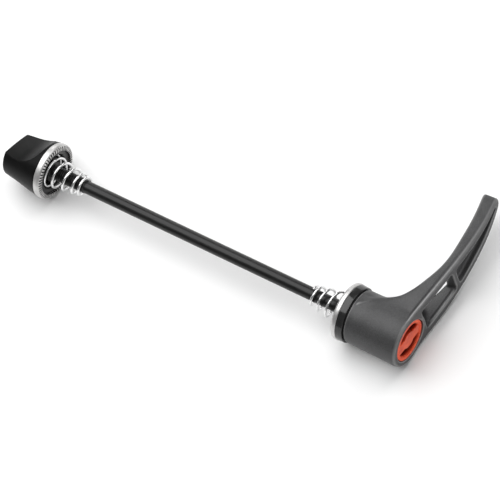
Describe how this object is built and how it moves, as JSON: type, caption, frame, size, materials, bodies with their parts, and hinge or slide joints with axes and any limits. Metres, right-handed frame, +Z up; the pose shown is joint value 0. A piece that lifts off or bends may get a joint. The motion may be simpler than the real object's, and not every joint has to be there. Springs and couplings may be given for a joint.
{
  "type": "quick-release wheel skewer",
  "caption": "Quick-release skewer for a bicycle wheel: slim axle rod, ratcheting pull-out lever, serrated clamp rings, conical springs and a screw-on end nut.",
  "frame": {"origin": "on the axle's axis, in the plane of the lever-side serrated clamp face", "axes": "+X along the axle from the nut towards the lever, +Y along the lever arm from the axle to the tip, +Z up with the skewer lying down"},
  "size_m": [0.1645, 0.068, 0.0204],
  "materials": {
    "rod_steel": "smooth, blackened, satin",
    "machined_steel": "turned",
    "red_anodised": "red anodised, satin",
    "rubber": "matt",
    "bright_steel": "bright satin plated",
    "gloss_black": "polished black anodised",
    "polymer": "natural, smooth",
    "spring_wire": "bright drawn wire",
    "lever_anodised": "bead blasted, dark grey anodised",
    "dark_insert": "blackened, semi-gloss"
  },
  "bodies": {
    "axle": {"axle_rod": "rod_steel", "drive_hub": "machined_steel", "end_cap": "red_anodised", "cap_seal": "rubber"},
    "clamp_face": {"lever_clamp_ring": "bright_steel", "ring_carrier": "gloss_black", "carrier_bush": "polymer", "thrust_washer": "polymer", "dust_seal": "rubber"},
    "hub_spring": {"lever_side_spring": "spring_wire"},
    "spring_pack": {"return_spring": "spring_wire", "cap_washer": "machined_steel"},
    "lever_group": {"lever": "lever_anodised", "spline_ring": "machined_steel", "spring_seat_washer": "machined_steel"},
    "nut_spring": {"nut_side_spring": "spring_wire"},
    "nut": {"nut_body": "gloss_black", "nut_clamp_ring": "bright_steel", "nut_insert": "dark_insert", "nut_lock_ring": "polymer"}
  },
  "joints": [
    {"name": "clamp_face_spin", "type": "hinge", "parent": "axle", "child": "clamp_face", "pos_m": [0, 0, 0], "axis": [1, 0, 0], "continuous": true},
    {"name": "lever_index", "type": "hinge", "parent": "axle", "child": "spring_pack", "pos_m": [0, 0, 0], "axis": [1, 0, 0], "continuous": true},
    {"name": "lever_pull", "type": "slide", "parent": "spring_pack", "child": "lever_group", "axis": [1, 0, 0], "range_m": [0, 0.0043], "stiffness_N_per_m": 1500, "springref_m": -0.003, "deforming": ["return_spring"]},
    {"name": "hub_spring_slide", "type": "slide", "parent": "axle", "child": "hub_spring", "axis": [-1, 0, 0], "range_m": [0, 0.08]},
    {"name": "nut_travel", "type": "slide", "parent": "axle", "child": "nut_spring", "axis": [1, 0, 0], "range_m": [-0.0016, 0.0088]},
    {"name": "nut_spin", "type": "hinge", "parent": "nut_spring", "child": "nut", "pos_m": [-0.1189, 0, 0], "axis": [1, 0, 0], "range_deg": [-720, 3960]}
  ],
  "couplings": [
    {"joint": "nut_travel", "follows": "nut_spin", "m_per_rad": 0.00012732}
  ]
}
